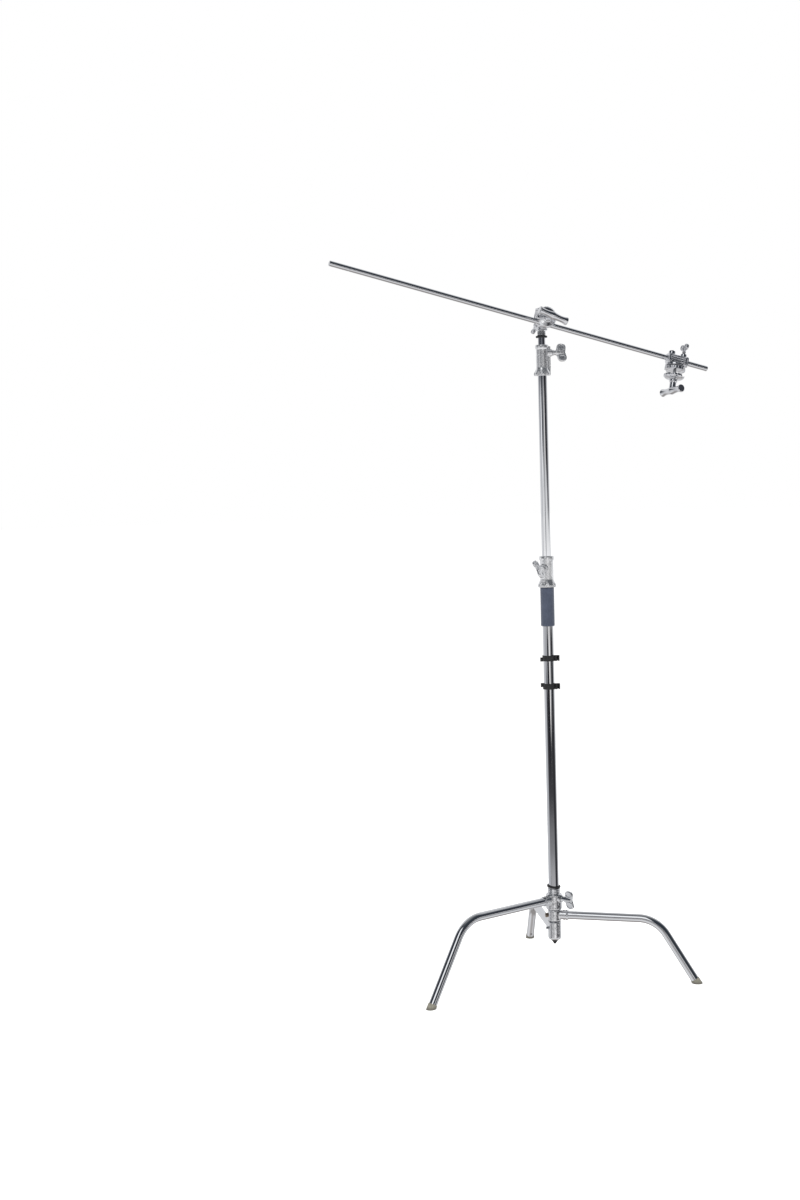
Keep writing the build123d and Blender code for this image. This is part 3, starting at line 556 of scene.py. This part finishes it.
# Panels in it: heading from the camera's side (degrees, positive to the right), half
# width, width of its soft edge, lowest and highest elevation, brightness.
PANELS = (
    ("left wall", -100, 34, 22, -14, -3.5, (0.56, 0.57, 0.60)),
    ("left line", -78, 8, 5, -4.0, 5.0, (0.44, 0.45, 0.48)),
    ("right shade", 76, 30, 14, -16, -4.0, (0.035, 0.035, 0.04)),
    ("front dark", -18, 15, 6, -9.5, -4.2, (0.02, 0.02, 0.025)),
    ("strip light", 19, 7, 3, -8.0, -4.0, (1.35, 1.32, 1.28)),
    ("strip edge", 40, 8, 5, -7.4, -4.0, (0.42, 0.42, 0.43)),
    ("low left", -42, 9, 5, -6.2, -3.4, (0.50, 0.51, 0.53)),
    ("front line", 0, 9, 5, -1.6, 9.0, (0.24, 0.245, 0.26)),
    ("gap right edge", 86, 24, 8, -0.2, 12.0, (0.09, 0.09, 0.10)),
    ("gap right", 56, 18, 6, 1.5, 9.0, (0.02, 0.02, 0.025)),
    ("gap left", -24, 11, 5, 2.1, 10.0, (0.04, 0.045, 0.055)),
    ("left window", -54, 12, 5, 1.5, 4.6, (1.10, 1.11, 1.13)),
    ("front strip", 24, 8, 4, 1.8, 4.6, (0.92, 0.89, 0.86)),
    ("hub line left", -64, 9, 6, -26, -14.5, (0.10, 0.10, 0.11)),
    ("hub line right", 46, 10, 6, -26, -14.5, (0.10, 0.10, 0.11)),
    ("hub light", 8, 12, 8, -24, -14.5, (1.2, 1.2, 1.2)),
    ("warm board", 10, 60, 12, -23, -20, (0.52, 0.45, 0.40)),
    ("overhead softbox", -16, 17, 5, 19, 56, (1.15, 1.16, 1.18)),
)
EDGE = 0.8                   # half width of a panel's soft upper and lower edge
# White sweep behind the stand, in degrees: headings where it fades in on either side,
# elevations where it fades out upwards, and where it brightens above the floor.
SWEEP_SIDE, SWEEP_TOP, SWEEP_FOOT = (92.0, 128.0), (88.0, 40.0), (-52.0, -14.0)
SWEEP_DARK, SWEEP_LIGHT = (0.36, 0.34, 0.33, 1), (0.76, 0.765, 0.78, 1)


def studio_dome():
    """Surroundings that only the gloss sees: SKY, its PANELS, and the white sweep behind."""
    mesh = bpy.data.meshes.new("studio_dome")
    form = bmesh.new()
    bmesh.ops.create_uvsphere(form, u_segments=192, v_segments=96, radius=DOME_R)
    form.to_mesh(mesh)
    form.free()
    dome = shown_object("studio_dome", mesh)
    material, graph, place = new_material("studio_dome")
    aim = graph.add("ShaderNodeVectorMath", {0: place}, operation="NORMALIZE").outputs[0]
    parts = graph.add("ShaderNodeSeparateXYZ", {"Vector": aim})
    toward = graph.math("MULTIPLY", parts.outputs["Y"], -1.0)
    heading = graph.math("DEGREES", graph.math("ARCTAN2", parts.outputs["X"], toward))
    elevation = graph.math("DEGREES", graph.math("ARCSINE", parts.outputs["Z"]))

    colour = (*SKY[0][1], 1)
    for (low, _), (high, light) in zip(SKY, SKY[1:]):
        colour = graph.mix(graph.step(elevation, low, high), colour, (*light, 1))
    for _, centre, half, soft, low, high, light in PANELS:
        away = graph.math("ABSOLUTE", graph.math("SUBTRACT", heading, centre))
        inside = graph.step(away, half + soft / 2, half - soft / 2)
        inside = graph.math("MULTIPLY", inside, graph.step(elevation, low - EDGE, low + EDGE))
        inside = graph.math("MULTIPLY", inside, graph.step(elevation, high + EDGE, high - EDGE))
        colour = graph.mix(inside, colour, (*light, 1))
    beside = graph.step(graph.math("ABSOLUTE", heading), *SWEEP_SIDE)
    behind = graph.math("MULTIPLY", beside, graph.step(elevation, *SWEEP_TOP))
    sweep = graph.mix(graph.step(elevation, *SWEEP_FOOT), SWEEP_DARK, SWEEP_LIGHT)
    colour = graph.mix(behind, colour, sweep)
    glow = graph.add("ShaderNodeEmission", {"Color": colour, "Strength": 1.0})
    output = graph.add("ShaderNodeOutputMaterial")
    graph.put(output.inputs["Surface"], glow.outputs[0])
    material.cycles.emission_sampling = "NONE"
    mesh.materials.append(material)
    dome.visible_camera = False
    dome.visible_diffuse = False
    dome.visible_shadow = False
    dome.visible_transmission = False


def area_light(name, place, aim, size, power, tint):
    """Large soft light, left out of reflections: the dome carries those."""
    light = bpy.data.lights.new(name, "AREA")
    light.shape = "DISK"
    light.size = size
    light.energy = power
    light.color = tint
    lamp = bpy.data.objects.new(name, light)
    turned = (Vector(aim) - Vector(place)).to_track_quat("-Z", "Y").to_matrix().to_4x4()
    lamp.matrix_world = Matrix.Translation(place) @ turned
    lamp.visible_glossy = False
    lamp.visible_camera = False
    bpy.context.scene.collection.objects.link(lamp)


studio_floor()
studio_dome()
area_light("key_light", (-2.6, -3.2, 3.6), (0, 0, 1.0), 2.2, 150, (1.0, 0.99, 0.97))
area_light("fill_light", (3.2, -2.4, 2.4), (0, 0, 1.0), 2.0, 60, (0.97, 0.98, 1.0))
area_light("back_light", (0.5, 3.2, 3.4), (0, 0, 1.2), 2.4, 70, (1.0, 1.0, 1.0))
world = bpy.data.worlds.new("studio")
world.use_nodes = True
air = Graph(world.node_tree)
background = air.add("ShaderNodeBackground", {"Color": (1, 1, 1, 1), "Strength": 1.0})
air.put(air.add("ShaderNodeOutputWorld").inputs["Surface"], background.outputs[0])
bpy.context.scene.world = world
bpy.context.scene.view_settings.view_transform = "Standard"
